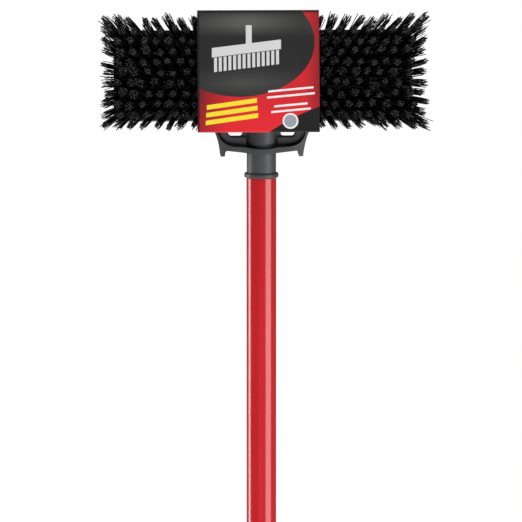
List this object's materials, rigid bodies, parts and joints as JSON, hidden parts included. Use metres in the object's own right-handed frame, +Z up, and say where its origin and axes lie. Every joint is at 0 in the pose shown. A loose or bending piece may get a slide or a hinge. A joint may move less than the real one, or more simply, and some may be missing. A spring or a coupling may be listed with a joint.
{
  "type": "swivel deck scrub brush",
  "caption": "Long-handled floor scrub: wide stiff bristle head hinged on a two-armed swivel brace with a screw-in steel handle and a hanging cap.",
  "frame": {"origin": "centre of the hang cap's flat butt end, on the handle's axis", "axes": "+Z up along the handle towards the head, +X along the head's length, bristles facing -Y at rest"},
  "size_m": [0.2764, 0.093, 1.4951],
  "materials": {
    "handle_paint": "gloss red paint",
    "cap_plastic": "satin black",
    "tip_plastic": "satin black",
    "brace_plastic": "moulded dark grey, slightly grained",
    "ring_plastic": "moulded dark grey",
    "bracket_plastic": "moulded black",
    "block_plastic": "moulded black",
    "pin_steel": "zinc plated",
    "bristle": "stiff black filament",
    "anchor_wire": "drawn flat wire",
    "printed_card": "coated card printed red and black"
  },
  "bodies": {
    "handle": {"handle_tube": "handle_paint", "hang_cap": "cap_plastic", "threaded_tip": "tip_plastic"},
    "ring": {"joint_ring": "ring_plastic"},
    "brace": {"swivel_brace": "brace_plastic", "hinge_pin": "pin_steel", "pin_retainers": "pin_steel"},
    "head": {"hinge_bracket": "bracket_plastic", "bracket_screws": "pin_steel", "brush_block": "block_plastic", "tuft_anchors": "anchor_wire", "tuft_row_01": "bristle", "tuft_row_02": "bristle", "tuft_row_03": "bristle", "tuft_row_04": "bristle", "tuft_row_05": "bristle", "tuft_row_06": "bristle", "tuft_row_07": "bristle", "tuft_row_08": "bristle", "tuft_row_09": "bristle", "tuft_row_10": "bristle", "tuft_row_11": "bristle", "card_sleeve": "printed_card"}
  },
  "joints": [
    {"name": "handle_unscrew", "type": "hinge", "parent": "handle", "child": "ring", "pos_m": [0, 0, 1.35], "axis": [0, 0, 1], "range_deg": [0, 1800]},
    {"name": "brace_lift", "type": "slide", "parent": "ring", "child": "brace", "axis": [0, 0, 1], "range_m": [0, 0.0255]},
    {"name": "head_swivel", "type": "hinge", "parent": "brace", "child": "head", "pos_m": [0, 0, 1.4315], "axis": [-1, 0, 0], "range_deg": [0, 160]}
  ],
  "couplings": [
    {"joint": "brace_lift", "follows": "handle_unscrew", "m_per_rad": 0.00080851}
  ]
}
